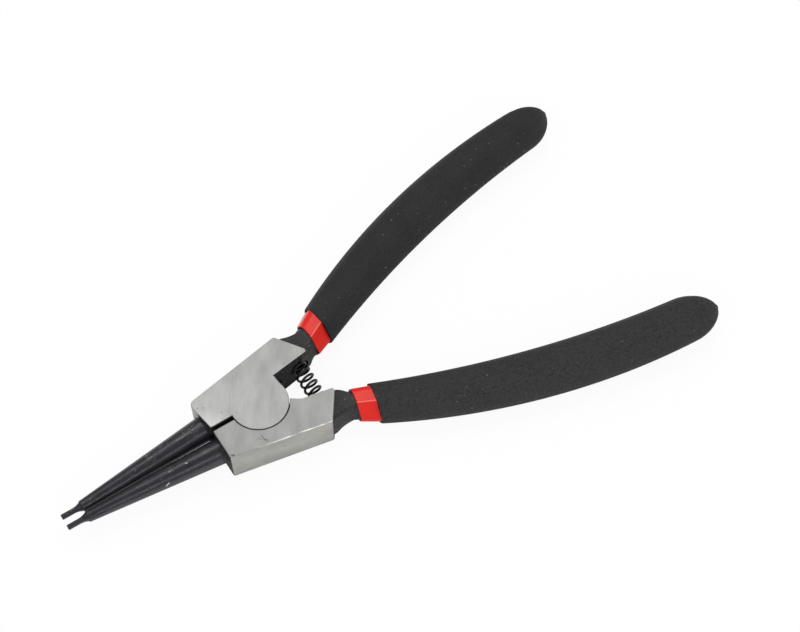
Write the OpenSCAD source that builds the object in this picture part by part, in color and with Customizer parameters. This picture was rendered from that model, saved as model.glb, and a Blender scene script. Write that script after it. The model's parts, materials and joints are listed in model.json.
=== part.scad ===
// Circlip pliers for outside rings: two lapped levers on a flush rivet, a coil
// spring between the necks, and handles with two dipped coats, red under black.
// Millimetres. +X runs from the tips to the handle ends and +Z is up. The pliers
// lie on z = 0, with the middle of their length at x = 0 and their slit on y = 0.

/* [Overall] */
// Length from the tips to the handle ends
overall_length = 180; // [174:1:190]
// Distance from the rivet to the ends of the tips
jaw_reach = 58; // [54:0.5:62]

/* [Jaws] */
// Diameter of the round tips that go into the ring's holes
tip_diameter = 1.5; // [1:0.1:2]
// Length of the round tips
tip_length = 3.4; // [2.4:0.1:5]
// Length of the hollow shoulder behind each tip
shoulder_length = 2.5; // [1.5:0.1:3.5]
// Diameter of a jaw at its front
jaw_front_diameter = 3.1; // [2.6:0.1:4]
// Diameter of a jaw where it leaves the joint
jaw_root_diameter = 7.2; // [6:0.1:8]
// Gap between the closed jaws at the front
jaw_front_gap = 0.3; // [0.2:0.1:0.6]
// Gap between the closed jaws at the joint
jaw_root_gap = 0.9; // [0.6:0.1:1.5]

/* [Joint] */
// Thickness of the joint between its ground faces
joint_thickness = 10.8; // [10:0.2:12]
// Distance from the rivet to the joint's front faces, beside the slit
joint_front = 14.3; // [13.4:0.1:15.4]
// Width of the joint at the front
joint_front_width = 19.8; // [18.4:0.1:21]
// Width of the joint at its rear outer corners
joint_rear_width = 30.4; // [28.5:0.1:31]
// Distance from the rivet to the rear outer corners
joint_rear = 13.3; // [12.5:0.1:14]
// Distance from the rivet to the rear inner corners
joint_rear_inner = 18.8; // [18.3:0.1:19.2]
// Slit between the front halves
joint_slit = 1.3; // [0.8:0.1:2]
// Distance of the spring wall from the middle, beside the tongue
wall_offset = 5.2; // [4.8:0.1:5.6]
// Slope of the spring wall
wall_slope = 10.5; // [9:0.5:12]
// Tilt of the upper lever's front face
upper_front_tilt = 9; // [0:0.5:12]
// Tilt of the lower lever's front face, dressed square
lower_front_tilt = 0.5; // [0:0.5:12]
// Radius on the upper lever's front outer corner
upper_front_corner = 1.6; // [0.4:0.1:2.5]
// Radius on the lower lever's front outer corner, dressed sharper
lower_front_corner = 0.5; // [0.4:0.1:2.5]
// Radius on the rear outer corners
rear_corner = 0.7; // [0.4:0.1:2]
// Radius of the half-thick tongue around the rivet
tongue_radius = 7.75; // [7.2:0.05:8.2]
// Gap between a tongue and the hollow that it turns in
tongue_clearance = 0.3; // [0.2:0.05:0.4]
// Gap between the two tongues, face to face
lap_clearance = 0.1; // [0.06:0.02:0.2]

/* [Rivet] */
// Diameter of the rivet's shank
rivet_diameter = 6; // [4:0.5:8]
// How far the spread heads stand out around the shank
rivet_flare = 0.9; // [0.5:0.1:1.2]
// Depth of the spread heads
rivet_head_depth = 1.1; // [0.6:0.1:1.6]
// Running clearance around the rivet
rivet_clearance = 0.03; // [0.02:0.01:0.08]

/* [Spring] */
// Wire diameter
spring_wire = 0.6; // [0.5:0.05:1]
// Outside diameter of the coil
spring_diameter = 4.9; // [4.2:0.1:5]
// Turns with the closed end turns counted
spring_turns = 10; // [7:1:11]
// Distance of the spring from the rivet
spring_place = 15.8; // [14.8:0.1:15.8]
// Depth of the pockets in the spring walls
pocket_depth = 3; // [2:0.1:3.5]
// Gap between the coil and its pocket
pocket_clearance = 0.25; // [0.15:0.05:0.3]

/* [Handles] */
// Distance of the red coat's front edge from the rivet, lengthwise
collar_place = 22; // [21:0.1:23]
// Distance of the red coat's front edge from the middle line
collar_offset = 11.9; // [11.6:0.1:12.6]
// Splay of a handle at the red coat's front edge
handle_splay = 28.1; // [26:0.1:30]
// Radius of the handle's bow
handle_bow = 240; // [220:1:300]
// Width of the steel at the red coat's front edge
neck_width = 8.5; // [7.6:0.1:8.8]
// Thickness of the steel at the red coat's front edge
neck_thickness = 7.6; // [7:0.1:8.2]
// Width of the steel flat on top and underneath
neck_flat = 2.4; // [1.6:0.1:3]
// Radius on the long edges of the steel
neck_edge = 1; // [0.6:0.1:1.4]
// Taper of the neck's inside towards the joint, per millimetre
neck_taper = 0.14; // [0.08:0.02:0.3]
// Radius of the hollow between the neck and the joint
neck_hollow = 5; // [4.8:0.1:6]
// Step down from the joint's ground faces to the neck
neck_step = 0.7; // [0.4:0.1:1.2]
// Width of the steel at its hidden end
tang_end_width = 6; // [5:0.1:7]
// Thickness of the steel at its hidden end
tang_end_thickness = 5.6; // [5:0.1:6.6]

/* [Coats] */
// Wall of the red coat under the grip
red_wall = 1; // [0.8:0.05:1.2]
// Wall of the red coat at its front edge
red_edge = 0.45; // [0.3:0.05:0.6]
// Length of red that shows in front of the grip
red_show = 5.2; // [3:0.1:8]
// Lean of the coats' front edges on the upper handle
upper_dip_lean = 23; // [0:0.5:25]
// Lean of the coats' front edges on the lower handle
lower_dip_lean = 17; // [0:0.5:25]
// Bonded fit between one coat and the next
coat_fit = 0.02; // [0.01:0.01:0.04]
// Wall of the grip at its front, at the sides
grip_side_wall = 0.5; // [0.4:0.05:1.2]
// Width of the grip near its end
grip_end_width = 13.7; // [12:0.1:14.2]
// Extra width of the grip in the middle
grip_belly = 2; // [0:0.1:2.4]
// Wall of the grip at its front, on top and underneath
grip_top_wall = 0.4; // [0.35:0.05:0.8]
// Thickness of the grip near its end
grip_end_thickness = 11.4; // [10.8:0.1:12]
// Extra thickness of the grip in the middle
grip_swell = 0.75; // [0:0.05:1]
// Width of the flat on top of the grip
grip_flat = 3.6; // [2:0.1:4.4]
// Radius on the long edges of the grip
grip_edge = 3.4; // [2.6:0.1:3.6]
// Length over which the grip goes from the steel's shape to its own
grip_blend = 30; // [15:1:45]
// Length of the nose at the grip's end
grip_nose = 10.5; // [8:0.5:12]
// Roundness of the nose, from a blunt point to a full round
nose_round = 1.6; // [1.4:0.1:2.2]
// How far the nose is set outwards
nose_shift = 0.65; // [0:0.05:2]
// Grip beyond the end of the steel
grip_cover = 6; // [5:0.1:8]

/* [Hidden] */
$fn = 64;

half = joint_thickness / 2;
rivet_x = jaw_reach - overall_length / 2;

// Colours
black_oxide = [0.16, 0.16, 0.17];
ground_steel = [0.66, 0.65, 0.63];
red_vinyl = [0.80, 0.16, 0.15];
black_vinyl = [0.12, 0.12, 0.12];

// The joint's corners on one side of the slit
front_inner = [-joint_front, joint_slit / 2];
front_width = (joint_front_width - joint_slit) / 2;
function front_outer(tilt) = [-joint_front - front_width * tan(tilt), joint_front_width / 2];
rear_outer = [joint_rear, joint_rear_width / 2];
rear_inner = [joint_rear_inner, wall_at(joint_rear_inner)];
web_half = tongue_radius - 0.35;
spur_foot = tongue_radius + tongue_clearance + 2.1;
spur_angle = 21;

// The spring wall's distance from the middle line at a distance from the rivet
function wall_at(x) = wall_offset + (x - tongue_radius) * tan(wall_slope);

// An outline with its corners rounded, each corner given as [point, radius]
function rounded(corners) = [
    for (i = [0:len(corners) - 1])
        let (n = len(corners),
             c = corners[i][0],
             r = corners[i][1],
             to_last = corners[(i + n - 1) % n][0] - c,
             to_next = corners[(i + 1) % n][0] - c,
             u = to_last / norm(to_last),
             v = to_next / norm(to_next),
             opening = acos(u * v),
             centre = c + (u + v) / norm(u + v) * r / sin(opening / 2),
             first = c + u * r / tan(opening / 2) - centre,
             turn = cross(u, v) > 0 ? -1 : 1)
        each r == 0 ? [c] : [
            for (k = [0:6])
                let (a = atan2(first[1], first[0]) + turn * k / 6 * (180 - opening))
                centre + r * [cos(a), sin(a)]
        ]
];

// Handle line, measured along its bow from the red coat's front edge
bow_turn = 180 / PI / handle_bow;
end_heading = asin(sin(handle_splay) - (overall_length - jaw_reach - collar_place) / handle_bow);
handle_run = (handle_splay - end_heading) / bow_turn;
function heading(s) = handle_splay - s * bow_turn;
function handle_mid(s) = [
    collar_place + handle_bow * (sin(handle_splay) - sin(heading(s))),
    collar_offset + handle_bow * (cos(heading(s)) - cos(handle_splay))
];

// Handle section: six round corners, at the two sides and the ends of the two flats
side_steps = 2;
flat_steps = 3;
function corner_points(centre, r, from, to, steps) = [
    for (k = [0:steps])
        let (a = from + (to - from) * k / steps)
        centre + r * [cos(a), sin(a)]
];
function section(a, b, f, r) =
    let (side = a - r,
         flat = min(f, 0.9 * side),
         top = b - r,
         lean = atan2(side - flat, top))
    concat(
        corner_points([side, 0], r, -lean, lean, side_steps),
        corner_points([flat, top], r, lean, 90, flat_steps),
        corner_points([-flat, top], r, 90, 180 - lean, flat_steps),
        corner_points([-side, 0], r, 180 - lean, 180 + lean, side_steps),
        corner_points([-flat, -top], r, 180 + lean, 270, flat_steps),
        corner_points([flat, -top], r, 270, 360 - lean, flat_steps)
    );
// The coats' front edges lean, because the handles were dipped along their chord
function lean_at(s, dip) = tan(dip) * max(s < 0 ? 1 + s / 6 : 1 - s / 40, 0);
// The section set across the handle line, shifted outwards
function ring(s, dip, a, b, f, r, shift = 0) =
    let (m = handle_mid(s), h = heading(s))
    [for (p = section(a, b, f, r))
        let (out = p[0] + shift, on = out * lean_at(s, dip))
        [m[0] - out * sin(h) + on * cos(h), m[1] + out * cos(h) + on * sin(h), p[1]]];

// A closed skin over a run of rings
module skin(rings) {
    n = len(rings[0]);
    last = len(rings) - 1;
    sides = [
        for (i = [0:last - 1], j = [0:n - 1])
            let (a = i * n + j,
                 b = i * n + (j + 1) % n)
            each [[a, a + n, b + n], [a, b + n, b]]
    ];
    start_cap = [for (j = [0:n - 1]) j];
    end_cap = [for (j = [n - 1:-1:0]) last * n + j];
    polyhedron([for (r = rings) each r], concat(sides, [start_cap, end_cap]));
}
function backwards(list) = [for (i = [len(list) - 1:-1:0]) list[i]];

// Steel neck: straight on the inside, hollowed on the outside
function neck_inside(s) = neck_width / 2 + neck_taper * s;
function neck_outside(s, dip) =
    let (place = s + (neck_width / 2 + 1) * lean_at(s, dip),
         t = min(max(-place - 0.9, 0), 0.86 * neck_hollow))
    neck_width / 2 + neck_hollow - sqrt(neck_hollow * neck_hollow - t * t);
function neck_ring(s, dip) =
    let (inside = neck_inside(s), outside = neck_outside(s, dip))
    ring(s, dip, (inside + outside) / 2, min(neck_thickness / 2 + 0.03 * s * s, half - neck_step),
         neck_flat / 2 - 0.4 * s, neck_edge, (outside - inside) / 2);
neck_runs = [-8, -6.6, -5.8, -5.2, -4.6, -4, -3.4, -2.6, -1.8, -0.9];

// Steel tang under the coats, with a wall added around it
tang_run = handle_run - grip_cover;
function along(s) = min(max(s / tang_run, 0), 1);
function tang_ring(s, dip, wall, size = 1) =
    ring(s, dip, size * (neck_width + (tang_end_width - neck_width) * along(s)) / 2 + wall,
         size * (neck_thickness + (tang_end_thickness - neck_thickness) * along(s)) / 2 + wall,
         size * neck_flat / 2, size * neck_edge + wall);
tang_runs = concat([0, red_show / 2, red_show],
                   [for (i = [1:8]) red_show + (tang_run - 2 - red_show) * i / 8]);
function red_at(s) = red_edge + (red_wall - red_edge) * min(s / red_show, 1);
function tang_end(dip, wall) = [
    tang_ring(tang_run - 0.6 + 0.6 * wall, dip, wall, 0.86),
    tang_ring(tang_run + wall, dip, 0.6 * wall, 0.55)
];
function tang_rings(dip) = concat([for (s = tang_runs) tang_ring(s, dip, 0)], tang_end(dip, 0));
function red_inside(dip) =
    concat([for (s = tang_runs) tang_ring(s, dip, coat_fit)], tang_end(dip, coat_fit));
function red_outside(dip) =
    concat([for (s = tang_runs) tang_ring(s, dip, red_at(s))], tang_end(dip, red_wall));
function grip_inside(dip) =
    concat([for (s = tang_runs) if (s >= red_show) tang_ring(s, dip, red_wall + coat_fit)],
           tang_end(dip, red_wall + coat_fit));

// Grip: a soft rounded bar with a belly and a blunt-pointed nose
nose_start = handle_run - grip_nose;
grip_front_width = neck_width + 2 * (red_wall + coat_fit + grip_side_wall);
grip_front_thickness = neck_thickness + 2 * (red_wall + coat_fit + grip_top_wall);
function grip_along(s) = min(max((s - red_show) / (nose_start - red_show), 0), 1);
function swelling(u) = 4 * u * (1 - u);
function grip_half_width(s) =
    let (u = grip_along(s))
    (grip_front_width + (grip_end_width - grip_front_width) * u + grip_belly * swelling(u)) / 2;
function grip_half_thickness(s) =
    let (u = grip_along(s))
    (grip_front_thickness + (grip_end_thickness - grip_front_thickness) * u + grip_swell * swelling(u)) / 2;
function nose_size(s) =
    let (u = min(max((s - nose_start) / grip_nose, 0), 1))
    pow(1 - u * u, 1 / nose_round);
function grip_ring(s, dip, less = 0) =
    let (k = max(nose_size(s), 0.16),
         own = min((s - red_show) / grip_blend, 1),
         front_edge = neck_edge + red_wall + coat_fit + grip_top_wall,
         flat = neck_flat / 2 + (grip_flat - neck_flat) / 2 * own,
         edge = front_edge + (grip_edge - front_edge) * own)
    ring(s, dip, k * grip_half_width(s) - less, k * grip_half_thickness(s) - less,
         k * flat, k * edge - less / 2, nose_shift * (1 - k));
grip_runs = concat([red_show + 0.4],
                   [for (i = [1:11]) red_show + (nose_start - red_show) * i / 11],
                   [for (u = [0.3, 0.52, 0.7, 0.84, 0.94, 1]) nose_start + grip_nose * u]);
function grip_outside(dip) =
    concat([grip_ring(red_show, dip, 0.25)], [for (s = grip_runs) grip_ring(s, dip)]);
rest_height = max([for (s = grip_runs) grip_half_thickness(s)]);

// Jaw line from the joint to the shoulder of the tip
jaw_front_at = [-jaw_reach + tip_length + shoulder_length, (jaw_front_diameter + jaw_front_gap) / 2];
jaw_root_at = [-joint_front, (jaw_root_diameter + jaw_root_gap) / 2];
jaw_angle = atan2(jaw_front_at[1] - jaw_root_at[1], jaw_front_at[0] - jaw_root_at[0]);
jaw_length = norm(jaw_front_at - jaw_root_at);
jaw_taper = (jaw_root_diameter - jaw_front_diameter) / 2 / jaw_length;
jaw_bury = 2;
jaw_rim = 0.2;

// Round tip with its hollow shoulder, turned about its own line
module tip() {
    step = (jaw_front_diameter - tip_diameter) / 2;
    hollow = (shoulder_length * shoulder_length + step * step) / (2 * step);
    translate([jaw_front_at[0], jaw_front_at[1], 0])
        rotate([0, -90, 0])
            rotate_extrude() {
                polygon([[0, -0.5], [tip_diameter / 2, -0.5],
                         [tip_diameter / 2, shoulder_length + tip_length - 0.12],
                         [tip_diameter / 2 - 0.12, shoulder_length + tip_length],
                         [0, shoulder_length + tip_length]]);
                difference() {
                    square([jaw_front_diameter / 2, shoulder_length]);
                    translate([tip_diameter / 2 + hollow, shoulder_length]) circle(hollow);
                }
            }
}

// Round tapered jaw, buried a little in the joint, with a narrow rim around the shoulder
module jaw() {
    translate([jaw_root_at[0], jaw_root_at[1], 0])
        rotate([0, 90, jaw_angle])
            translate([0, 0, -jaw_bury])
                cylinder(h = jaw_length + jaw_bury + jaw_rim,
                         r1 = jaw_root_diameter / 2 + jaw_taper * jaw_bury,
                         r2 = jaw_front_diameter / 2);
}

// Joint block beside the slit, as thick as the whole joint
module block(front_corner, front_tilt) {
    translate([0, 0, -half])
        linear_extrude(joint_thickness)
            polygon(rounded([
                [front_inner, 0],
                [[-web_half, joint_slit / 2], 0],
                [[web_half, wall_at(web_half)], 0],
                [rear_inner, 0.3],
                [rear_outer, rear_corner],
                [front_outer(front_tilt), front_corner]
            ]));
}

// Spur of the lower half that follows the other lever's tongue
module spur() {
    tip_at = (tongue_radius - 0.6) * [cos(spur_angle), sin(spur_angle)];
    translate([0, 0, -half])
        linear_extrude(half + lap_clearance / 2)
            polygon([tip_at, [spur_foot, wall_at(spur_foot) + 0.05], [spur_foot, wall_at(spur_foot) + 2],
                     [tongue_radius / 2, tongue_radius]]);
}

// Half-thick tongue around the rivet
module tongue() {
    translate([0, 0, lap_clearance / 2])
        linear_extrude(half - lap_clearance / 2) {
            circle(tongue_radius);
            polygon([[-web_half, 0], [web_half + 0.1, 0], [web_half - 0.1, wall_offset + 1.5],
                     [-web_half, wall_offset + 1.5]]);
        }
}

// Hollow for the other lever's tongue
module tongue_hollow() {
    translate([0, 0, -half - 1])
        cylinder(r = tongue_radius + tongue_clearance, h = half + 1 + lap_clearance / 2);
}

// Rivet with both heads spread flush, or the hole for it
module rivet_form(gap) {
    r = rivet_diameter / 2 + gap;
    over = gap > 0 ? 1 : 0;
    slope = rivet_flare / rivet_head_depth;
    rotate_extrude()
        polygon([[0, -half - over], [r + rivet_flare + over * slope, -half - over],
                 [r, -half + rivet_head_depth], [r, half - rivet_head_depth],
                 [r + rivet_flare + over * slope, half + over], [0, half + over]]);
}

// Blind pocket for the spring's end, square to the slit
module spring_pocket() {
    translate([spring_place, wall_at(spring_place) - 2, 0])
        rotate([-90, 0, 0])
            cylinder(d = spring_diameter + 2 * pocket_clearance, h = 2 + pocket_depth);
}

module lever(front_corner, front_tilt, dip) {
    difference() {
        union() {
            difference() {
                union() {
                    block(front_corner, front_tilt);
                    spur();
                }
                tongue_hollow();
            }
            tongue();
            jaw();
            tip();
            skin(concat([for (s = neck_runs) neck_ring(s, dip)], tang_rings(dip)));
        }
        rivet_form(rivet_clearance);
        spring_pocket();
    }
}

// Coil spring from pocket to pocket, with closed end turns
spring_half = wall_at(spring_place) + pocket_depth - coat_fit - spring_wire / 2;
spring_pitch = (2 * spring_half - 2 * (spring_wire + 0.05)) / (spring_turns - 2);
coil_steps = 14;
wire_sides = 7;
function coil_rise(t) =
    t < 1 ? t * (spring_wire + 0.05)
    : t > spring_turns - 1 ? 2 * spring_half - (spring_turns - t) * (spring_wire + 0.05)
    : spring_wire + 0.05 + (t - 1) * spring_pitch;
module coil() {
    mean = (spring_diameter - spring_wire) / 2;
    rings = [
        for (i = [0:spring_turns * coil_steps])
            let (t = i / coil_steps, a = -360 * t)
            [for (k = [0:wire_sides - 1])
                let (b = 360 * k / wire_sides,
                     out = mean + spring_wire / 2 * cos(b))
                [spring_place + out * cos(a),
                 -spring_half + coil_rise(t) - spring_wire / 2 * sin(b),
                 out * sin(a)]]
    ];
    skin(rings);
}

// The two coats of one handle
module red_sleeve(dip) skin(concat(backwards(red_inside(dip)), red_outside(dip)));
module grip(dip) skin(concat(backwards(grip_inside(dip)), grip_outside(dip)));

module placed() translate([rivet_x, 0, rest_height]) children();
module turned_over() rotate([180, 0, 0]) children();

module upper_lever()
    color(black_oxide) placed() lever(upper_front_corner, upper_front_tilt, upper_dip_lean);
module lower_lever()
    color(black_oxide) placed() turned_over() lever(lower_front_corner, lower_front_tilt, lower_dip_lean);
module pivot_rivet() color(ground_steel) placed() rivet_form(0);
module return_spring() color(black_oxide) placed() coil();
module upper_red_sleeve() color(red_vinyl) placed() red_sleeve(upper_dip_lean);
module lower_red_sleeve() color(red_vinyl) placed() turned_over() red_sleeve(lower_dip_lean);
module upper_grip() color(black_vinyl) placed() grip(upper_dip_lean);
module lower_grip() color(black_vinyl) placed() turned_over() grip(lower_dip_lean);

upper_lever();
lower_lever();
pivot_rivet();
return_spring();
upper_red_sleeve();
lower_red_sleeve();
upper_grip();
lower_grip();
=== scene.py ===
import json
import math

import bmesh
import bpy
from mathutils import Matrix, Vector


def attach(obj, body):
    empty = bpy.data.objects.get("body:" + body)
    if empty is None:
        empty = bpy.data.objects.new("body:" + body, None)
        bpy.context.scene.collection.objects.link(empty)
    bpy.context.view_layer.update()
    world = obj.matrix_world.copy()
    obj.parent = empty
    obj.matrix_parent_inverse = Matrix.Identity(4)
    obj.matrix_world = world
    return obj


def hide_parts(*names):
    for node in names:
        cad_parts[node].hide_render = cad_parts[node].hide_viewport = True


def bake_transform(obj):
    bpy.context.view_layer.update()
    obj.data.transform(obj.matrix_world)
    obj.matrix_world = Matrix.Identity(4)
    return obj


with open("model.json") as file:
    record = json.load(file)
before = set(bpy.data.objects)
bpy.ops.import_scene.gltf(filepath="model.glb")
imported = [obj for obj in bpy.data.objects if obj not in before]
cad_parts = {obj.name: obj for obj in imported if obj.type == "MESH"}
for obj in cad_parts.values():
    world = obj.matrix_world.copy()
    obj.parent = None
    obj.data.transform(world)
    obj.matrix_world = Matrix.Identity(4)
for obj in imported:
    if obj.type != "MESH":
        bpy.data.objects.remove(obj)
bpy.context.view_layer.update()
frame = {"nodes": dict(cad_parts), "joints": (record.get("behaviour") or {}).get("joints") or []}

MM = 0.001
RIVET = Vector(frame["joints"][0]["pos_m"])

# Sizes in millimetres and angles in radians, as in the part's source
HALF_JOINT = 5.4
JOINT_FRONT = 14.3
REAR_OUTER = Vector((13.3, 15.2))
TONGUE_RADIUS = 7.75
RIVET_RADIUS = 3.0
RIVET_FLARE = 0.9
RIVET_HEAD_DEPTH = 1.1
SPRING_PLACE = 15.8
SPRING_DIAMETER = 4.9
SPRING_TURNS = 10
COLLAR_PLACE = 22.0
COLLAR_OFFSET = 11.9
HANDLE_SPLAY = math.radians(28.1)
HANDLE_BOW = 240.0
HANDLE_REACH = 122.0
NECK_WIDTH = 8.5
NECK_THICKNESS = 7.6
TANG_END_WIDTH = 6.0
TANG_END_THICKNESS = 5.6
DIP_LEAN = {"upper": math.radians(23.0), "lower": math.radians(17.0)}
LEAN_FADE_FRONT = 6.0
LEAN_FADE_REAR = 40.0
RED_SHOW = 5.2
RED_WALL = 1.0
RED_EDGE = 0.45
COAT_FIT = 0.02
GRIP_SIDE_WALL = 0.5
GRIP_TOP_WALL = 0.4
GRIP_END_WIDTH = 13.7
GRIP_BELLY = 2.0
GRIP_END_THICKNESS = 11.4
GRIP_SWELL = 0.75
GRIP_NOSE = 10.5
NOSE_ROUND = 1.6
NOSE_SHIFT = 0.65
GRIP_COVER = 6.0

# Sizes in millimetres that are the scene's own
TONGUE_GROWTH = 0.11
WALL_SHIFT = 0.5
EDGE_BREAK = 0.22
JAW_SIDE = 5.9
RIVET_TIGHTNESS = 0.026
SPRING_WIRE = 0.72
SPRING_HALF = 9.31
SPRING_ASKEW = 1.1
CLOSED_TURN_GAP = 0.05
RED_HALF_FLAT = 1.1
RED_CORNER = 0.8
RED_FLAT_REACH = 1.3
RED_MOUTH_LIP = 0.4
RED_MOUTH_DEPTH = 0.6
RED_HOLLOW_ROUND = 0.6
GRIP_HALF_FLAT = 1.25
GRIP_CORNER = 3.3
TANG_ROUND = 2.0
LEVER_MERGE = 0.002
COIL_MERGE = 0.001

# The coats' front rims: how far behind the front, and the wall's change there
RED_RIM = ((0.0, -0.16), (0.1, -0.04), (0.3, 0.02))
GRIP_RIM = ((0.0, -0.26), (0.05, -0.12), (0.18, -0.03), (0.4, 0.0))

# Sections along the coats: runs in millimetres, and shares of the grip's nose
RED_RUNS = [0.8, 1.6, 2.6, 3.6, 4.4, RED_SHOW, 6.0, 10.0]
RED_TAIL_STEPS = 10
HOLLOW_STEPS = 9
GRIP_STEPS = 30
NOSE_STEPS = (0.15, 0.3, 0.42, 0.53, 0.63, 0.72, 0.8, 0.87, 0.925, 0.965, 0.99, 1.0)
NOSE_END_SIZE = 0.1

# The coats' ends over the tang, as shares of the section and of the wall
TANG_SHOULDER = 0.86
TANG_TIP = 0.55
TIP_WALL = 0.6

# How much of a flat's further reach is rounded off again
FAR_CORNER_SHARE = 0.8

# How finely round shapes are drawn
RED_CORNER_STEPS = 6
GRIP_CORNER_STEPS = 8
EDGE_STEPS = 3
WIRE_SIDES = 14
COIL_STEPS = 30
RIVET_SIDES = 96

# The handle line, a shallow bow from the red collar to the grip's end
END_HEADING = math.asin(math.sin(HANDLE_SPLAY) - (HANDLE_REACH - COLLAR_PLACE) / HANDLE_BOW)
HANDLE_RUN = (HANDLE_SPLAY - END_HEADING) * HANDLE_BOW
TANG_RUN = HANDLE_RUN - GRIP_COVER
NOSE_START = HANDLE_RUN - GRIP_NOSE
RED_OUTSIDE = RED_WALL + COAT_FIT
GRIP_FRONT_WIDTH = NECK_WIDTH + 2 * (RED_OUTSIDE + GRIP_SIDE_WALL)
GRIP_FRONT_THICKNESS = NECK_THICKNESS + 2 * (RED_OUTSIDE + GRIP_TOP_WALL)


def mix(low, high, share):
    return low + (high - low) * share


def share_of(value, low, high):
    return min(max((value - low) / (high - low), 0.0), 1.0)


def spread(start, end, count):
    """Even steps from a start, which is left out, to an end"""
    return [start + (end - start) * step / count for step in range(1, count + 1)]


def within(value, span):
    return span[0] < value < span[1]


def lean_at(side, run):
    fade = 1 + run / LEAN_FADE_FRONT if run < 0 else 1 - run / LEAN_FADE_REAR
    return math.tan(DIP_LEAN[side]) * max(fade, 0.0)


def place_on_handle(side, run, half_width, half_thickness, shift=0.0):
    """Where a section of unit half width and half thickness sits on the handle line, in metres"""
    heading = HANDLE_SPLAY - run / HANDLE_BOW
    along = Vector((math.cos(heading), math.sin(heading), 0))
    across = Vector((-math.sin(heading), math.cos(heading), 0)) + lean_at(side, run) * along
    middle = Vector((
        COLLAR_PLACE + HANDLE_BOW * (math.sin(HANDLE_SPLAY) - math.sin(heading)),
        COLLAR_OFFSET + HANDLE_BOW * (math.cos(heading) - math.cos(HANDLE_SPLAY)),
        0,
    )) + shift * across
    columns = Matrix((across * half_width * MM, Vector((0, 0, 1)) * half_thickness * MM, along * MM))
    return Matrix.Translation(RIVET + middle * MM) @ columns.transposed().to_4x4()


def six_sided_face(bm, half_width, half_thickness, half_flat, edge_radius, steps, flat_reach=0.0):
    """A six-sided face with round corners, scaled to a unit half width and half thickness

    The top flat reaches further outwards and the bottom flat further inwards, by flat_reach,
    and these two corners are rounder.
    """
    side = half_width - edge_radius
    top = half_thickness - edge_radius
    lean = math.atan2(side - half_flat, top)
    flat_corner = half_flat + edge_radius * (1 - math.sin(lean)) / math.cos(lean)
    side_corner = side + edge_radius / math.cos(lean)
    corners = bmesh.ops.create_circle(bm, cap_ends=True, radius=1, segments=6)["verts"]
    bmesh.ops.rotate(bm, matrix=Matrix.Rotation(math.radians(30), 3, "Z"), verts=corners)
    sides = [vert for vert in corners if abs(vert.co.y) < 0.1]
    flats = [vert for vert in corners if abs(vert.co.y) > 0.1]
    far_flats = [vert for vert in flats if vert.co.x * vert.co.y > 0]
    near_flats = [vert for vert in flats if vert.co.x * vert.co.y < 0]
    for verts, reach, height in (
        (sides, side_corner, 0.0),
        (near_flats, flat_corner, half_thickness),
        (far_flats, flat_corner + flat_reach, half_thickness),
    ):
        for vert in verts:
            vert.co = Vector((math.copysign(reach, vert.co.x), math.copysign(height, vert.co.y), 0))
    flat_offset = edge_radius * math.tan((math.pi / 2 - lean) / 2)
    for verts, offset in (
        (sides, edge_radius * math.tan(lean)),
        (near_flats, flat_offset),
        (far_flats, flat_offset + FAR_CORNER_SHARE * flat_reach),
    ):
        bmesh.ops.bevel(bm, geom=verts, offset=offset, offset_type="OFFSET", segments=steps,
                        profile=0.5, affect="VERTICES", material=-1, clamp_overlap=False)
    face = bm.faces[:][0]
    bmesh.ops.scale(bm, vec=(1 / half_width, 1 / half_thickness, 1), verts=face.verts)
    return face


def move_face(bm, face, old_place, new_place):
    bmesh.ops.transform(bm, matrix=new_place @ old_place.inverted(), verts=face.verts)


def draw_out(bm, face, places):
    """Extrudes a face that lies at the first place through all the others"""
    for old_place, new_place in zip(places, places[1:]):
        made = bmesh.ops.extrude_face_region(bm, geom=[face])
        face = [part for part in made["geom"] if isinstance(part, bmesh.types.BMFace)][0]
        move_face(bm, face, old_place, new_place)


def shade_smooth(bm):
    for face in bm.faces:
        face.smooth = True


def close_and_turn(bm, side):
    """Points the faces outwards, and turns the lower handle's copy over about the rivet"""
    bmesh.ops.recalc_face_normals(bm, faces=bm.faces)
    shade_smooth(bm)
    if side == "lower":
        bmesh.ops.rotate(bm, cent=RIVET, matrix=Matrix.Rotation(math.pi, 3, "X"), verts=bm.verts)


def mark_sharp(bm, degrees):
    for edge in bm.edges:
        if len(edge.link_faces) == 2:
            edge.smooth = edge.calc_face_angle(0) < math.radians(degrees)


def finish_piece(name, bm, materials, node):
    """Turns a bmesh into a piece that stands for a CAD node, with its flat faces shaded flat"""
    mesh = bpy.data.meshes.new(name)
    bm.to_mesh(mesh)
    bm.free()
    for material in materials:
        mesh.materials.append(material)
    piece = bpy.data.objects.new(name, mesh)
    bpy.context.scene.collection.objects.link(piece)
    flatten = piece.modifiers.new("flat_faces", "WEIGHTED_NORMAL")
    flatten.keep_sharp = True
    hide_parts(node)
    return piece


# Colours of the finishes
STEEL_GREEN = 0.9935
STEEL_CONTRAST = 0.26
PIT = (0.10, 0.09, 0.08, 1)
SCRATCH = (0.07, 0.052, 0.036, 1)
# Rubbed edge: dull steel, and the near-white of its painted highlight
EDGE_DULL = (0.20, 0.19, 0.175, 1)
EDGE_HIGHLIGHT = (0.95, 0.935, 0.90, 1)
OXIDE_DARK = (0.0105, 0.0105, 0.0135, 1)
OXIDE_LIGHT = (0.023, 0.023, 0.029, 1)
OXIDE_WORN = (0.22, 0.215, 0.21, 1)
OXIDE_SHEEN = (0.92, 0.93, 1.0, 1)
BARE_STEEL = (0.62, 0.61, 0.59, 1)
SCALE_DARK = (0.008, 0.008, 0.0085)
SCALE_LIGHT = (0.026, 0.026, 0.027)
SPECK = (0.16, 0.16, 0.155, 1)
RED_DARK = (0.67, 0.020, 0.014, 1)
RED_LIGHT = (0.74, 0.026, 0.019, 1)
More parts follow.
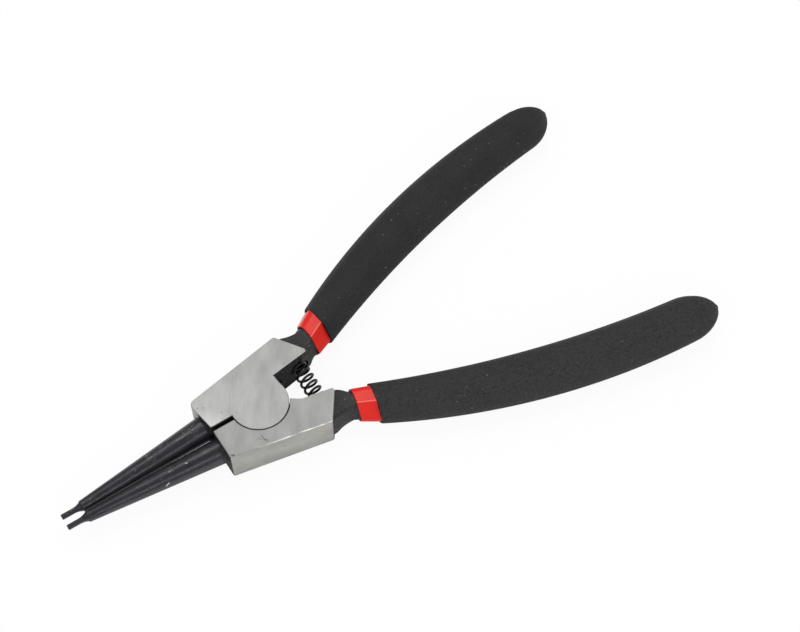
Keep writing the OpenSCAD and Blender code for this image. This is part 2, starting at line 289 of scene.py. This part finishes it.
# The pale pink of the red coat's painted ridge highlight
RED_RIDGE_HIGHLIGHT = (0.95, 0.42, 0.36, 1)
VINYL_DARK = (0.0085, 0.0085, 0.0088)
VINYL_LIGHT = (0.036, 0.036, 0.0373)
DUST = (0.20, 0.19, 0.18, 1)
WIRE_DARK = (0.008, 0.008, 0.008, 1)
WIRE_LIGHT = (0.020, 0.020, 0.021, 1)
PAPER = (0.92, 0.92, 0.92, 1)
WHITE = (1, 1, 1, 1)

# The usual spread of a noise, between which most of its values lie
NOISE_LOW = 0.3
NOISE_HIGH = 0.7

# Marks of use: places from the rivet and half sizes in millimetres, turns in degrees,
# and strengths on the ground faces
UPPER_MARKS = [((-9.7, 3.0, HALF_JOINT), 0, (0.26, 0.22, 0.3), 0.7)]
LOWER_MARKS = [
    ((-13.5, -9.6, HALF_JOINT), -40, (0.8, 0.4, 0.5), 0.85),
    ((-4.43, -9.6, HALF_JOINT), -83, (1.9, 0.17, 0.3), 0.75),
    ((-4.0, -10.4, HALF_JOINT), -60, (0.8, 0.22, 0.3), 0.6),
    ((-5.3, -9.3, HALF_JOINT), -50, (0.9, 0.12, 0.3), 0.6),
]
JAW_MARKS = [
    ((-31.0, -5.4, 1.05), (0, -30, 7), (0.9, 0.5, 0.17)),
    ((-24.3, -3.7, 3.0), (0, 0, -35), (0.5, 0.12, 0.4)),
]

# Where painted light changes the tone, in millimetres: the painted highlight round the upper ground face's
# slit corner, the painted light that fades along the joint, and the fade of the rubbed edge's painted
# highlight
SLIT_CORNER = RIVET + Vector((-JOINT_FRONT, 0.5, HALF_JOINT)) * MM
CORNER_HIGHLIGHT_REACH = (1.0, 6.0)
PAINTED_LIGHT_FADE = (-14.0, 14.0)
RUB_HIGHLIGHT_FADE = (-11.0, 1.0)


class Finish:
    """A node material that is built up one node at a time"""

    def __init__(self, name):
        self.material = bpy.data.materials.new(name)
        self.material.use_nodes = True
        self.tree = self.material.node_tree
        self.shader = self.tree.nodes["Principled BSDF"]
        self.coords = self.tree.nodes.new("ShaderNodeTexCoord").outputs["Object"]

    def feed(self, socket, value):
        if isinstance(value, bpy.types.NodeSocket):
            self.tree.links.new(value, socket)
        else:
            socket.default_value = value

    def node(self, kind, values=None, **settings):
        made = self.tree.nodes.new("ShaderNode" + kind)
        for key, value in settings.items():
            setattr(made, key, value)
        for key, value in (values or {}).items():
            self.feed(made.inputs[key], value)
        return made

    def stretched(self, turn, length, width):
        """Coordinates for lines at a turn about +Z, with a length and a width in millimetres"""
        scale = Vector((length, width, width)) * MM
        values = {"Vector": self.coords, "Rotation": (0, 0, turn), "Scale": scale}
        return self.node("Mapping", values, vector_type="TEXTURE").outputs["Vector"]

    def mark(self, place, turns, sizes):
        """A soft spot, with its place from the rivet and its half sizes in millimetres"""
        values = {
            "Vector": self.coords,
            "Location": RIVET + Vector(place) * MM,
            "Rotation": [math.radians(turn) for turn in turns],
            "Scale": Vector(sizes) * MM,
        }
        spot = self.node("Mapping", values, vector_type="TEXTURE").outputs["Vector"]
        away = self.node("VectorMath", {0: spot}, operation="LENGTH").outputs["Value"]
        return self.grade(away, 0.5, 1.0, 1.0, 0.0)

    def noise(self, scale, detail=2.0, roughness=0.5, vector=None):
        """A noise with its scale per metre, or per unit of the coordinates that are given"""
        values = {"Vector": vector or self.coords, "Scale": scale, "Detail": detail, "Roughness": roughness}
        return self.node("TexNoise", values).outputs["Fac"]

    def grade(self, value, low, high, to_low=0.0, to_high=1.0):
        values = {"Value": value, "From Min": low, "From Max": high, "To Min": to_low, "To Max": to_high}
        return self.node("MapRange", values).outputs["Result"]

    def even(self, noise, to_low=0.0, to_high=1.0):
        """Grades a noise over its usual spread"""
        return self.grade(noise, NOISE_LOW, NOISE_HIGH, to_low, to_high)

    def fade(self, span, to_low, to_high):
        """Grades along X over a span in millimetres from the rivet"""
        along = self.node("SeparateXYZ", {"Vector": self.coords}).outputs["X"]
        start, end = (RIVET.x + place * MM for place in span)
        return self.grade(along, start, end, to_low, to_high)

    def facing(self):
        """The parts of the direction that the surface faces"""
        normal = self.node("NewGeometry").outputs["Normal"]
        return self.node("SeparateXYZ", {"Vector": normal}).outputs

    def blend(self, factor, first, second):
        made = self.node("Mix", {0: factor, 6: first, 7: second}, data_type="RGBA")
        return made.outputs[2]

    def times(self, first, second):
        return self.node("Math", {0: first, 1: second}, operation="MULTIPLY").outputs["Value"]

    def plus(self, first, second):
        return self.node("Math", {0: first, 1: second}, operation="ADD").outputs["Value"]

    def bump(self, height, strength, depth, under=None):
        """Bump with a depth in millimetres, over another bump where one is given"""
        values = {"Height": height, "Strength": strength, "Distance": depth * MM}
        if under is not None:
            values["Normal"] = under
        return self.node("Bump", values).outputs["Normal"]

    def put(self, **values):
        for key, value in values.items():
            self.feed(self.shader.inputs[key.replace("_", " ")], value)


def toned(colour, tone):
    return tuple(part * tone for part in colour) + (1,)


def ground_steel(name, line_turn, tone, warm, painted_light_slope=0.0, marks=()):
    """Bright steel with fine grinding lines, soft clouds of tone and a few small pits

    With a painted light gradient given, the face is painted brighter at the jaws' end and gets a painted
    highlight at the slit's front corner.
    """
    steel = Finish(name)
    lines = steel.noise(1.0, 3.0, 0.65, steel.stretched(line_turn, 9, 0.32))
    clouds = steel.noise(1.0, 3.0, 0.6, steel.stretched(line_turn, 9, 4))
    pits = steel.grade(steel.noise(1300, 1.0), 0.74, 0.80)
    shade = steel.plus(steel.even(lines, 0.0, 0.45), steel.even(clouds, 0.0, 0.55))
    tint = (tone, STEEL_GREEN * tone, warm * tone)
    colour = steel.blend(shade, toned(tint, 1 - STEEL_CONTRAST), toned(tint, 1 + STEEL_CONTRAST))
    # Painted highlight round the slit's front corner, times painted light that is brighter at the jaws' end
    from_corner = steel.node("VectorMath", {0: steel.coords, 1: SLIT_CORNER}, operation="DISTANCE")
    near, far = (reach * MM for reach in CORNER_HIGHLIGHT_REACH)
    painted_corner_highlight = steel.grade(from_corner.outputs["Value"], near, far, 1 + 4 * painted_light_slope, 1.0)
    painted_light_gain = steel.times(steel.fade(PAINTED_LIGHT_FADE, 1 + painted_light_slope, 1 - painted_light_slope), painted_corner_highlight)
    colour = steel.node("VectorMath", {0: colour, "Scale": painted_light_gain}, operation="SCALE").outputs["Vector"]
    colour = steel.blend(steel.times(pits, 0.6), colour, PIT)
    for place, turn, sizes, strength in marks:
        spot = steel.mark(place, (0, 0, turn), sizes)
        colour = steel.blend(steel.times(spot, strength), colour, SCRATCH)
    steel.put(Base_Color=colour, Roughness=steel.even(lines, 0.36, 0.46), Metallic=0.4,
              Normal=steel.bump(lines, 0.15, 0.03))
    return steel.material


def worn_edge_with_highlight(name):
    """Steel rubbed along an edge, with a near-white painted highlight, a little uneven, and duller towards
    the jaws
    """
    edge = Finish(name)
    rub = edge.noise(1.0, 3.0, 0.6, edge.stretched(math.radians(-11), 3, 0.4))
    # The painted highlight along the edge is uneven and fades towards the jaws
    highlight_share = edge.times(edge.grade(rub, 0.3, 0.6), edge.fade(RUB_HIGHLIGHT_FADE, 0.15, 1.0))
    edge.put(Base_Color=edge.blend(highlight_share, EDGE_DULL, EDGE_HIGHLIGHT), Metallic=0.0, Roughness=0.5)
    return edge.material


def black_oxide(name):
    """Black oxide on the turned jaws, with lengthwise streaks, a fine grain and worn spots on top"""
    oxide = Finish(name)
    streaks = oxide.noise(1.0, 3.0, 0.6, oxide.stretched(0.0, 4, 0.5))
    grain = oxide.noise(2600, 2.0)
    clouds = oxide.noise(220, 3.0, 0.6)
    worn = oxide.grade(oxide.noise(1.0, 3.0, 0.7, oxide.stretched(0.0, 1.4, 0.35)), 0.56, 0.66)
    cluster = oxide.grade(oxide.noise(170, 1.0), 0.46, 0.60)
    ridge = oxide.grade(oxide.facing()["Z"], 0.78, 0.97)
    colour = oxide.blend(oxide.even(clouds), OXIDE_DARK, OXIDE_LIGHT)
    colour = oxide.blend(oxide.times(oxide.times(worn, ridge), cluster), colour, OXIDE_WORN)
    for place, turns, sizes in JAW_MARKS:
        colour = oxide.blend(oxide.mark(place, turns, sizes), colour, BARE_STEEL)
    rough = oxide.plus(oxide.even(streaks, 0.20, 0.34), oxide.even(grain, 0.0, 0.08))
    fine = oxide.bump(grain, 0.12, 0.02)
    oxide.put(Base_Color=colour, Roughness=rough, Normal=oxide.bump(streaks, 0.12, 0.03, fine),
              IOR=1.65, Specular_Tint=OXIDE_SHEEN)
    return oxide.material


def black_forging(name, tone):
    """Black oxide on the rough forging, with scale and a few bright specks"""
    forging = Finish(name)
    scale = forging.noise(900, 4.0, 0.65)
    grain = forging.noise(3000, 2.0)
    specks = forging.grade(forging.noise(2200, 1.0), 0.67, 0.74)
    colour = forging.blend(forging.even(scale), toned(SCALE_DARK, tone), toned(SCALE_LIGHT, tone))
    colour = forging.blend(forging.times(specks, 0.7), colour, SPECK)
    fine = forging.bump(grain, 0.2, 0.03)
    forging.put(Base_Color=colour, Roughness=forging.even(scale, 0.46, 0.66),
                Normal=forging.bump(scale, 0.35, 0.08, fine))
    return forging.material


def red_vinyl(name):
    """Glossy red dip coat with a slight ripple, and a painted highlight along the ridge beside its upper
    flat
    """
    red = Finish(name)
    ripple = red.noise(420, 2.0)
    clouds = red.noise(160, 2.0)
    colour = red.blend(red.even(clouds), RED_DARK, RED_LIGHT)
    # Painted highlight: a paler colour on the ridge's rounding that faces up and to the front
    facing = red.facing()
    above_side = red.grade(facing["Z"], 0.84, 0.91)
    below_flat = red.grade(facing["Z"], 0.935, 0.98, 1.0, 0.0)
    front = red.grade(facing["Y"], -0.2, -0.1, 1.0, 0.0)
    ridge = red.times(red.times(above_side, below_flat), front)
    colour = red.blend(red.times(ridge, 0.55), colour, RED_RIDGE_HIGHLIGHT)
    red.put(Base_Color=colour, Roughness=red.even(ripple, 0.14, 0.22), IOR=1.33,
            Normal=red.bump(ripple, 0.10, 0.06))
    return red.material


def black_vinyl(name, grain_share, depth):
    """Matte black dip coat with a fine foam grain and a few pale specks of dust"""
    vinyl = Finish(name)
    grain = vinyl.noise(1500, 3.0, 0.7)
    pores = vinyl.node("TexVoronoi", {"Vector": vinyl.coords, "Scale": 1300.0}).outputs["Distance"]
    clouds = vinyl.noise(90, 3.0, 0.6)
    dust = vinyl.grade(vinyl.noise(1400, 0.0), 0.825, 0.85)
    tone = vinyl.plus(vinyl.even(grain, 0.0, grain_share), vinyl.even(clouds, 0.0, 0.2))
    colour = vinyl.blend(tone, toned(VINYL_DARK, depth), toned(VINYL_LIGHT, depth))
    colour = vinyl.blend(vinyl.times(dust, 0.5), colour, DUST)
    pitted = vinyl.bump(pores, 0.25, 0.06)
    vinyl.put(Base_Color=colour, Roughness=vinyl.even(grain, 0.72, 0.90),
              Normal=vinyl.bump(grain, 0.6 * grain_share, 0.10, pitted))
    return vinyl.material


def spring_black(name):
    """Oiled black spring wire, a little uneven in tone"""
    wire = Finish(name)
    tone = wire.noise(900, 2.0)
    wire.put(Base_Color=wire.blend(wire.even(tone), WIRE_DARK, WIRE_LIGHT), IOR=1.6,
             Roughness=wire.even(tone, 0.18, 0.34), Normal=wire.bump(tone, 0.1, 0.03))
    return wire.material


GRINDING_TURN = math.radians(57)
# The upper ground face gets painted light and a painted highlight at the slit corner
GROUND = {
    "upper": ground_steel("upper_ground_steel", GRINDING_TURN, 0.355, 0.965, 0.13, UPPER_MARKS),
    "lower": ground_steel("lower_ground_steel", GRINDING_TURN, 0.298, 0.965, 0.0, LOWER_MARKS),
}
SIDES = ground_steel("ground_sides", 0.0, 0.375, 0.925)
WORN_EDGE_WITH_HIGHLIGHT = worn_edge_with_highlight("worn_edge_with_highlight")
OXIDE = black_oxide("black_oxide")
FORGING = black_forging("black_forging", 1.0)
# A copy of the black forging, painted lighter for how light falls on the wall that the spring stands in
WALL_PAINTED_LIGHT = black_forging("spring_wall_painted_light", 1.2)
RED = red_vinyl("red_vinyl")
VINYL = {
    "upper": black_vinyl("upper_black_vinyl", 0.7, 0.85),
    "lower": black_vinyl("lower_black_vinyl", 1.3, 0.88),
}
WIRE = spring_black("spring_black")

# Where the parts of a lever lie, in millimetres from the rivet, as on the upper lever
NEAR = 0.02
FRONT_DEPTH = 3.0
JAW_START = -JOINT_FRONT - 1
EDGE_SPAN = (-16.5, 19.5)
JOINT_SPAN = (-17.0, 19.5)
SIDE_SPAN = (JOINT_SPAN[0], REAR_OUTER.x)
FACET_SPAN = (8.0, 14.0)
WALL_SPAN = (9.0, 18.5)
WALL_INNER = 3.0
CORNER_START = -12.0
RIVET_ROOM = 5.0
TOP_DEPTH = 0.3
SIDE_DEPTH = 0.4
SIDE_SLOPE = 0.184

# Angles between a lever's faces, up to which they are one face, and from which an edge is broken
FLAT_ANGLE = math.radians(0.4)
BROKEN_ANGLE = math.radians(50)

# The order of a lever's materials
GROUND_SLOT, SIDE_SLOT, OXIDE_SLOT, FORGING_SLOT, WALL_LIGHT_SLOT, WORN_HIGHLIGHT_SLOT = range(6)


def from_rivet(point, turned):
    """A place in millimetres from the rivet, turned to lie as on the upper lever"""
    away = (point - RIVET) / MM
    return Vector((away.x, away.y * turned, away.z * turned))


def middle_of(face, turned):
    return from_rivet(face.calc_center_median(), turned)


def is_level(face):
    return abs(face.normal.z) > 0.999


def is_upright(face):
    return abs(face.normal.z) < 0.01


def faces_spring(face, turned):
    return face.normal.y * turned < -0.5 and middle_of(face, turned).y > WALL_INNER


def grow_tongue(bm):
    """Narrows the gap round the tongue"""
    stretch = 1 + TONGUE_GROWTH / TONGUE_RADIUS
    for vert in bm.verts:
        arm = (vert.co - RIVET).to_2d()
        if abs(arm.length / MM - TONGUE_RADIUS) < NEAR:
            vert.co.xy = RIVET.xy + arm * stretch


def part_front(bm, turned):
    """Cuts the front faces beside the jaw, where the upper lever's corner is ground bright"""
    front = []
    for face in bm.faces:
        if face.normal.x < -0.7 and abs(middle_of(face, turned).x + JOINT_FRONT) < FRONT_DEPTH:
            front.append(face)
    edges = dict.fromkeys(edge for face in front for edge in face.edges)
    verts = dict.fromkeys(vert for face in front for vert in face.verts)
    cut = RIVET + Vector((0, JAW_SIDE * turned, 0)) * MM
    bmesh.ops.bisect_plane(bm, geom=front + list(edges) + list(verts), plane_co=cut, plane_no=(0, turned, 0))


def shift_wall(bm, turned):
    """Moves the wall that the spring stands in further inwards, from its fold behind the tongue"""
    facets = []
    for face in bm.faces:
        if is_upright(face) and faces_spring(face, turned) and within(middle_of(face, turned).x, FACET_SPAN):
            facets.append(face)
    facet = max(facets, key=lambda face: face.calc_area())
    fold = max(facet.edges, key=lambda edge: edge.verts[0].co.x + edge.verts[1].co.x)
    wall = [face for face in fold.link_faces if face is not facet][0]
    fold_place = fold.verts[0].co.copy()
    moved = []
    for vert in bm.verts:
        place = from_rivet(vert.co, turned)
        off_wall = abs((vert.co - fold_place).dot(wall.normal))
        if off_wall < NEAR * MM and place.y > WALL_INNER and within(place.x, WALL_SPAN):
            moved.append(vert)
    bmesh.ops.translate(bm, vec=(0, -WALL_SHIFT * turned * MM, 0), verts=moved)


def break_edges(bm, turned):
    """Takes the sharpness off the joint's edges, away from the rivet, and returns the new faces"""
    edges = []
    for edge in bm.edges:
        if len(edge.link_faces) != 2 or not edge.is_convex:
            continue
        middle = from_rivet((edge.verts[0].co + edge.verts[1].co) / 2, turned)
        if edge.calc_face_angle(0) < BROKEN_ANGLE or not within(middle.x, EDGE_SPAN):
            continue
        square = all(is_level(face) or is_upright(face) for face in edge.link_faces)
        if square and middle.xy.length > RIVET_ROOM:
            edges.append(edge)
    made = bmesh.ops.bevel(bm, geom=edges, offset=EDGE_BREAK * MM, offset_type="OFFSET", segments=EDGE_STEPS,
                           profile=0.5, affect="EDGES", material=-1, clamp_overlap=False)
    return made["faces"]


def paint_lever(bm, side, turned, broken):
    """Bright where the joint is ground, black oxide on the jaw and a rough black behind the joint"""
    outwards = Vector((-SIDE_SLOPE, turned, 0)).normalized()
    for face in bm.faces:
        middle = middle_of(face, turned)
        in_joint = within(middle.x, JOINT_SPAN)
        on_top = abs(middle.z) > HALF_JOINT - TOP_DEPTH and abs(face.normal.z) > 0.3
        depth = REAR_OUTER.y - middle.y + SIDE_SLOPE * (middle.x - REAR_OUTER.x)
        outside = face.normal.dot(outwards) > 0.55 and depth < SIDE_DEPTH and within(middle.x, SIDE_SPAN)
        at_corner = face.normal.x < -0.5 and middle.x < CORNER_START and middle.y > JAW_SIDE
        if in_joint and on_top:
            face.material_index = GROUND_SLOT
        elif in_joint and (outside or side == "upper" and at_corner):
            face.material_index = SIDE_SLOT
        # Painted light: the wall that the spring stands in gets a lighter copy of the forging
        elif in_joint and faces_spring(face, turned):
            face.material_index = WALL_LIGHT_SLOT
        else:
            face.material_index = OXIDE_SLOT if middle.x < JAW_START else FORGING_SLOT
    # The lower lever's outer top edge gets the rubbed edge with its painted highlight
    if side == "lower":
        for face in broken:
            middle = middle_of(face, turned)
            on_outer_edge = within(face.normal.dot(outwards), (0.05, 0.99))
            if on_outer_edge and middle.z < 0 and middle.x < REAR_OUTER.x:
                face.material_index = WORN_HIGHLIGHT_SLOT


# Levers: the forgings with broken edges, bright where they are ground
def lever(side):
    turned = 1 if side == "upper" else -1
    bm = bmesh.new()
    bm.from_mesh(frame["nodes"][side + "_lever"].data)
    bmesh.ops.remove_doubles(bm, verts=bm.verts, dist=LEVER_MERGE * MM)
    bmesh.ops.dissolve_limit(bm, angle_limit=FLAT_ANGLE, verts=bm.verts, edges=bm.edges)
    grow_tongue(bm)
    part_front(bm, turned)
    shift_wall(bm, turned)
    broken = break_edges(bm, turned)
    paint_lever(bm, side, turned, broken)
    shade_smooth(bm)
    mark_sharp(bm, 35)
    materials = [GROUND[side], SIDES, OXIDE, FORGING, WALL_PAINTED_LIGHT, WORN_EDGE_WITH_HIGHLIGHT]
    piece = finish_piece(side + "_lever_forging", bm, materials, side + "_lever")
    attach(piece, side + "_half")


# Handle coats: each is drawn out over the handle, and its hollow is drawn in along the tang
def tang_place(side, run, wall, size=1.0):
    share = share_of(run, 0, TANG_RUN)
    half_width = size * mix(NECK_WIDTH, TANG_END_WIDTH, share) / 2 + wall
    half_thickness = size * mix(NECK_THICKNESS, TANG_END_THICKNESS, share) / 2 + wall
    return place_on_handle(side, run, half_width, half_thickness)


def tang_end(side, wall, shoulder_run, tip_wall):
    """The rounded end of a coat or a hollow over the tang's end"""
    return [
        tang_place(side, shoulder_run, wall, TANG_SHOULDER),
        tang_place(side, TANG_RUN + wall, tip_wall, TANG_TIP),
    ]


def hollow_places(side, wall):
    """The straight part of a coat's hollow, from the grip's front to the tang's rounded end"""
    runs = [RED_SHOW] + spread(RED_SHOW, TANG_RUN - TANG_ROUND, HOLLOW_STEPS)
    return [tang_place(side, run, wall) for run in runs]


def red_sleeve(side):
    bm = bmesh.new()
    face = six_sided_face(bm, NECK_WIDTH / 2 + RED_EDGE, NECK_THICKNESS / 2 + RED_EDGE, RED_HALF_FLAT,
                          RED_CORNER, RED_CORNER_STEPS, RED_FLAT_REACH)
    places = [tang_place(side, run, RED_EDGE + change) for run, change in RED_RIM]
    front = places[0]
    move_face(bm, face, Matrix.Identity(4), front)
    for run in RED_RUNS + spread(RED_RUNS[-1], TANG_RUN - TANG_ROUND, RED_TAIL_STEPS):
        wall = mix(RED_EDGE, RED_WALL, share_of(run, 0, RED_SHOW))
        places.append(tang_place(side, run, wall))
    places += tang_end(side, RED_WALL, TANG_RUN, TIP_WALL * RED_WALL)
    draw_out(bm, face, places)
    hollow = [
        front,
        tang_place(side, 0, COAT_FIT - RED_MOUTH_LIP),
        tang_place(side, RED_MOUTH_DEPTH, COAT_FIT),
    ]
    hollow += hollow_places(side, COAT_FIT)
    hollow += tang_end(side, COAT_FIT, TANG_RUN - RED_HOLLOW_ROUND, 0.0)
    draw_out(bm, face, hollow)
    close_and_turn(bm, side)
    mark_sharp(bm, 50)
    piece = finish_piece(side + "_red_coat", bm, [RED], side + "_red_sleeve")
    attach(piece, side + "_half")


def grip_place(side, run, change=0.0):
    share = share_of(run, RED_SHOW, NOSE_START)
    swelling = 4 * share * (1 - share)
    nose = share_of(run, NOSE_START, HANDLE_RUN)
    size = max((1 - nose ** 2) ** (1 / NOSE_ROUND), NOSE_END_SIZE)
    width = mix(GRIP_FRONT_WIDTH, GRIP_END_WIDTH, share) + GRIP_BELLY * swelling
    thickness = mix(GRIP_FRONT_THICKNESS, GRIP_END_THICKNESS, share) + GRIP_SWELL * swelling
    half_width = size * width / 2 + change
    half_thickness = size * thickness / 2 + change
    return place_on_handle(side, run, half_width, half_thickness, NOSE_SHIFT * (1 - size))


def grip(side):
    bm = bmesh.new()
    face = six_sided_face(bm, GRIP_FRONT_WIDTH / 2, GRIP_FRONT_THICKNESS / 2, GRIP_HALF_FLAT,
                          GRIP_CORNER, GRIP_CORNER_STEPS)
    places = [grip_place(side, RED_SHOW + run, change) for run, change in GRIP_RIM]
    front = places[0]
    move_face(bm, face, Matrix.Identity(4), front)
    places += [grip_place(side, run) for run in spread(RED_SHOW, NOSE_START, GRIP_STEPS)]
    places += [grip_place(side, NOSE_START + GRIP_NOSE * share) for share in NOSE_STEPS]
    draw_out(bm, face, places)
    hollow = [front] + hollow_places(side, RED_OUTSIDE)
    hollow += tang_end(side, RED_OUTSIDE, TANG_RUN, TIP_WALL * RED_OUTSIDE)
    draw_out(bm, face, hollow)
    close_and_turn(bm, side)
    mark_sharp(bm, 50)
    piece = finish_piece(side + "_grip_coat", bm, [VINYL[side]], side + "_grip")
    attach(piece, side + "_half")


# Return spring: round wire wound about a line across the slit, with closed end turns, and set askew
def return_spring():
    bm = bmesh.new()
    axis_at = RIVET + Vector((SPRING_PLACE, 0, 0)) * MM
    mean = (SPRING_DIAMETER - SPRING_WIRE) / 2
    made = bmesh.ops.create_circle(bm, cap_ends=True, radius=SPRING_WIRE / 2 * MM, segments=WIRE_SIDES)
    start = axis_at + Vector((mean, -SPRING_HALF, 0)) * MM
    bmesh.ops.translate(bm, vec=start, verts=made["verts"])
    section = made["verts"][0].link_faces[0]
    open_turns = SPRING_TURNS - 2
    closed_rise = SPRING_WIRE + CLOSED_TURN_GAP
    open_rise = (2 * SPRING_HALF - 2 * closed_rise) / open_turns
    for rise in [closed_rise] + [open_rise] * open_turns + [closed_rise]:
        step = Vector((0, rise / COIL_STEPS, 0)) * MM
        made = bmesh.ops.spin(bm, geom=[section], cent=axis_at, axis=(0, 1, 0), dvec=step,
                              angle=2 * math.pi, steps=COIL_STEPS, use_merge=False)
        section = [part for part in made["geom_last"] if isinstance(part, bmesh.types.BMFace)][0]
    bmesh.ops.remove_doubles(bm, verts=bm.verts, dist=COIL_MERGE * MM)
    bmesh.ops.recalc_face_normals(bm, faces=bm.faces)
    shade_smooth(bm)
    mark_sharp(bm, 50)
    upper_end = Matrix.Translation(axis_at + Vector((0, SPRING_HALF, 0)) * MM)
    askew = Matrix.Shear("XZ", 4, (SPRING_ASKEW / (2 * SPRING_HALF), 0))
    bmesh.ops.transform(bm, matrix=upper_end @ askew @ upper_end.inverted(), verts=bm.verts)
    piece = finish_piece("return_spring_coil", bm, [WIRE], "return_spring")
    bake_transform(piece)


# Rivet: both heads spread tight into the levers and ground flush with them
def pivot_rivet():
    bm = bmesh.new()
    made = bmesh.ops.create_circle(bm, cap_ends=True, radius=MM, segments=RIVET_SIDES)
    face = made["verts"][0].link_faces[0]
    head = RIVET_RADIUS + RIVET_FLARE + RIVET_TIGHTNESS
    neck = HALF_JOINT - RIVET_HEAD_DEPTH
    rings = ((-HALF_JOINT, head), (-neck, RIVET_RADIUS), (neck, RIVET_RADIUS), (HALF_JOINT, head))
    places = []
    for height, radius in rings:
        centre = Matrix.Translation(RIVET + Vector((0, 0, height * MM)))
        places.append(centre @ Matrix.Diagonal((radius, radius, 1, 1)))
    move_face(bm, face, Matrix.Identity(4), places[0])
    draw_out(bm, face, places)
    close_and_turn(bm, "upper")
    mark_sharp(bm, 30)
    piece = finish_piece("pivot_rivet_flush", bm, [GROUND["upper"]], "pivot_rivet")
    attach(piece, "lower_half")


for side in ("upper", "lower"):
    lever(side)
    red_sleeve(side)
    grip(side)
return_spring()
pivot_rivet()

# Stage: pale floor, white surroundings, soft lamps and the camera that was fitted to the photograph
FLOOR_HALF = 3.0
FLOOR_WHITE = 0.93
ROOM_LIGHT = 0.66
ROOM_IN_GLOSS = 0.22
LAMP_TARGET = RIVET + Vector((30, 0, 0)) * MM
CAMERA_TURN = math.radians(-33.2491)
CAMERA_LIFT = math.radians(58.4710)
CAMERA_DISTANCE = 0.443259
CAMERA_TARGET = Vector((0.0152420, 0.0048279, 0.00587))
FOCAL_PIXELS = 1614.23
PHOTO_WIDTH_PIXELS = 800
SENSOR_WIDTH = 36


def stage_floor():
    """White paper, whiter for the camera alone, so that reflections keep the part's shadow"""
    bm = bmesh.new()
    bmesh.ops.create_grid(bm, x_segments=1, y_segments=1, size=FLOOR_HALF)
    mesh = bpy.data.meshes.new("floor")
    bm.to_mesh(mesh)
    bm.free()
    paint = Finish("floor_paper")
    seen = paint.times(paint.node("LightPath").outputs["Is Camera Ray"], FLOOR_WHITE)
    glow = paint.node("Emission", {"Color": WHITE, "Strength": 1.0})
    paper = paint.node("BsdfDiffuse", {"Color": PAPER})
    both = paint.node("MixShader", {0: seen, 1: paper.outputs[0], 2: glow.outputs[0]})
    output = paint.tree.nodes["Material Output"]
    paint.tree.links.new(both.outputs[0], output.inputs["Surface"])
    mesh.materials.append(paint.material)
    floor = bpy.data.objects.new("floor", mesh)
    bpy.context.scene.collection.objects.link(floor)


def surroundings():
    """A white room that looks dim in reflections, so that the lamps shape the gloss"""
    world = bpy.data.worlds.new("white_room")
    bpy.context.scene.world = world
    world.use_nodes = True
    tree = world.node_tree
    light = tree.nodes["Background"]
    light.inputs["Color"].default_value = WHITE
    rays = tree.nodes.new("ShaderNodeLightPath")
    strength = tree.nodes.new("ShaderNodeMapRange")
    strength.inputs["To Min"].default_value = ROOM_LIGHT
    strength.inputs["To Max"].default_value = ROOM_IN_GLOSS
    tree.links.new(rays.outputs["Is Glossy Ray"], strength.inputs["Value"])
    seen = tree.nodes.new("ShaderNodeMath")
    seen.operation = "MAXIMUM"
    tree.links.new(rays.outputs["Is Camera Ray"], seen.inputs[0])
    tree.links.new(strength.outputs["Result"], seen.inputs[1])
    tree.links.new(seen.outputs[0], light.inputs["Strength"])


def soft_lamp(name, towards, distance, width, height, watts, in_gloss=True):
    data = bpy.data.lights.new(name, "AREA")
    data.shape = "RECTANGLE"
    data.size = width
    data.size_y = height
    data.energy = watts
    lamp = bpy.data.objects.new(name, data)
    direction = Vector(towards).normalized()
    lamp.location = LAMP_TARGET + direction * distance
    lamp.rotation_euler = direction.to_track_quat("Z", "Y").to_euler()
    lamp.visible_glossy = in_gloss
    bpy.context.scene.collection.objects.link(lamp)


def photo_camera():
    level = math.cos(CAMERA_LIFT)
    back = Vector((math.sin(CAMERA_TURN) * level, -math.cos(CAMERA_TURN) * level, math.sin(CAMERA_LIFT)))
    data = bpy.data.cameras.new("camera")
    data.sensor_fit = "HORIZONTAL"
    data.sensor_width = SENSOR_WIDTH
    data.lens = FOCAL_PIXELS * SENSOR_WIDTH / PHOTO_WIDTH_PIXELS
    data.clip_start = 0.01
    data.clip_end = 20
    camera = bpy.data.objects.new("camera", data)
    camera.location = CAMERA_TARGET + back * CAMERA_DISTANCE
    camera.rotation_euler = back.to_track_quat("Z", "Y").to_euler()
    bpy.context.scene.collection.objects.link(camera)
    bpy.context.scene.camera = camera


stage_floor()
surroundings()
soft_lamp("key_lamp", (0.29, 0.40, 0.87), 1.2, 0.80, 0.80, 4.6)
soft_lamp("front_strip", (0.15, -0.82, 0.55), 1.0, 1.0, 0.12, 1.2)
soft_lamp("side_fill", (-0.75, -0.45, 0.5), 1.0, 0.9, 0.9, 3.0, in_gloss=False)
photo_camera()
bpy.context.scene.view_settings.view_transform = "Standard"
